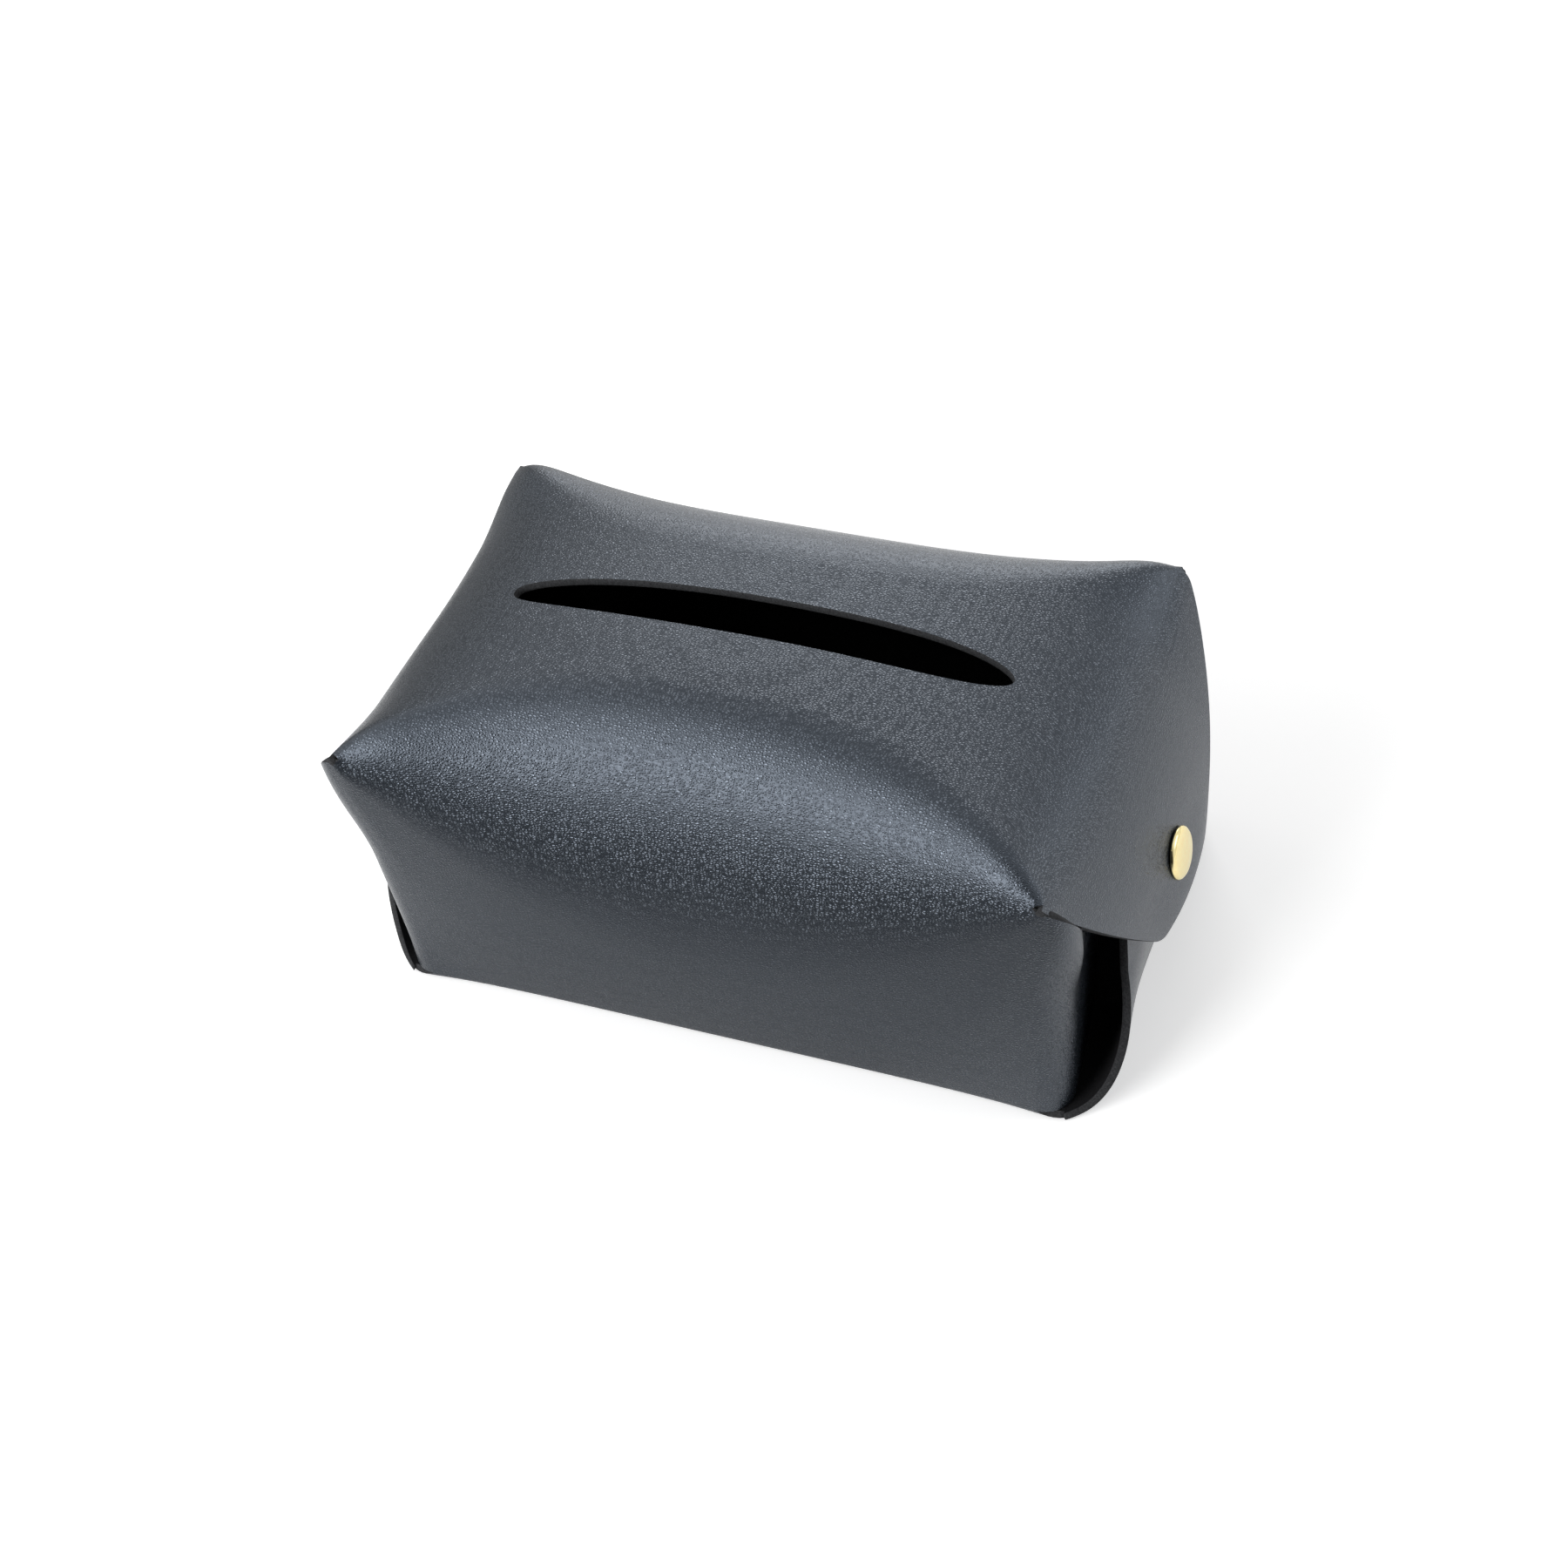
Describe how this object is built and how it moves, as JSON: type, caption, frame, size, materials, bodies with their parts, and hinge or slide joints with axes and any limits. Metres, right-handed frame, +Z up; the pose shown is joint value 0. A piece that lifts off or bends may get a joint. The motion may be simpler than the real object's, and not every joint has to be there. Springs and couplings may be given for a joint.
{
  "type": "tissue box",
  "caption": "Soft folded-leather tissue box with a long lens-shaped slit in its arched top and tongue ends closed by metal snap fasteners.",
  "frame": {"origin": "middle of the base, on the surface the box rests on", "axes": "+X along the slit towards the right-hand snap, +Y towards the back wall, +Z up"},
  "size_m": [0.2046, 0.1076, 0.0939],
  "materials": {
    "black_leather": "fine pebbled satin grain, dark suede-like back",
    "snap_gold": "polished pale gold plating"
  },
  "bodies": {
    "shell": {"top_panel": "black_leather", "front_wall": "black_leather", "back_wall": "black_leather", "bottom_panel": "black_leather", "rear_seam_flap": "black_leather"},
    "top_tongue_right": {"top_tongue_right": "black_leather", "snap_cap_right": "snap_gold", "snap_socket_right": "snap_gold"},
    "lower_tongue_right": {"lower_tongue_right": "black_leather", "snap_stud_right": "snap_gold", "snap_post_right": "snap_gold"},
    "side_flap_front_right": {"side_flap_front_right": "black_leather"},
    "side_flap_back_right": {"side_flap_back_right": "black_leather"},
    "top_tongue_left": {"top_tongue_left": "black_leather", "snap_cap_left": "snap_gold", "snap_socket_left": "snap_gold"},
    "lower_tongue_left": {"lower_tongue_left": "black_leather", "snap_stud_left": "snap_gold", "snap_post_left": "snap_gold"},
    "side_flap_front_left": {"side_flap_front_left": "black_leather"},
    "side_flap_back_left": {"side_flap_back_left": "black_leather"}
  },
  "joints": [
    {"name": "top_tongue_fold_right", "type": "hinge", "parent": "shell", "child": "top_tongue_right", "pos_m": [0.0869, 0, 0.0775], "axis": [0, -1, 0], "range_deg": [0, 120]},
    {"name": "lower_tongue_fold_right", "type": "hinge", "parent": "shell", "child": "lower_tongue_right", "pos_m": [0.0944, 0, 0.00457], "axis": [0, 1, 0], "range_deg": [0, 72]},
    {"name": "side_flap_fold_front_right", "type": "hinge", "parent": "shell", "child": "side_flap_front_right", "pos_m": [0.08425, -0.04776, 0.0043], "axis": [0.0297, -0.0426, 0.9987], "range_deg": [0, 55]},
    {"name": "side_flap_fold_back_right", "type": "hinge", "parent": "shell", "child": "side_flap_back_right", "pos_m": [0.08425, 0.04776, 0.0043], "axis": [-0.0297, -0.0426, -0.9987], "range_deg": [0, 55]},
    {"name": "top_tongue_fold_left", "type": "hinge", "parent": "shell", "child": "top_tongue_left", "pos_m": [-0.0869, 0, 0.0775], "axis": [0, 1, 0], "range_deg": [0, 120]},
    {"name": "lower_tongue_fold_left", "type": "hinge", "parent": "shell", "child": "lower_tongue_left", "pos_m": [-0.0944, 0, 0.00457], "axis": [0, -1, 0], "range_deg": [0, 72]},
    {"name": "side_flap_fold_front_left", "type": "hinge", "parent": "shell", "child": "side_flap_front_left", "pos_m": [-0.08425, -0.04776, 0.0043], "axis": [0.0297, 0.0426, -0.9987], "range_deg": [0, 55]},
    {"name": "side_flap_fold_back_left", "type": "hinge", "parent": "shell", "child": "side_flap_back_left", "pos_m": [-0.08425, 0.04776, 0.0043], "axis": [-0.0297, 0.0426, 0.9987], "range_deg": [0, 55]}
  ],
  "couplings": [
    {"joint": "lower_tongue_fold_right", "follows": "top_tongue_fold_right", "ratio": 0.6},
    {"joint": "lower_tongue_fold_left", "follows": "top_tongue_fold_left", "ratio": 0.6}
  ]
}
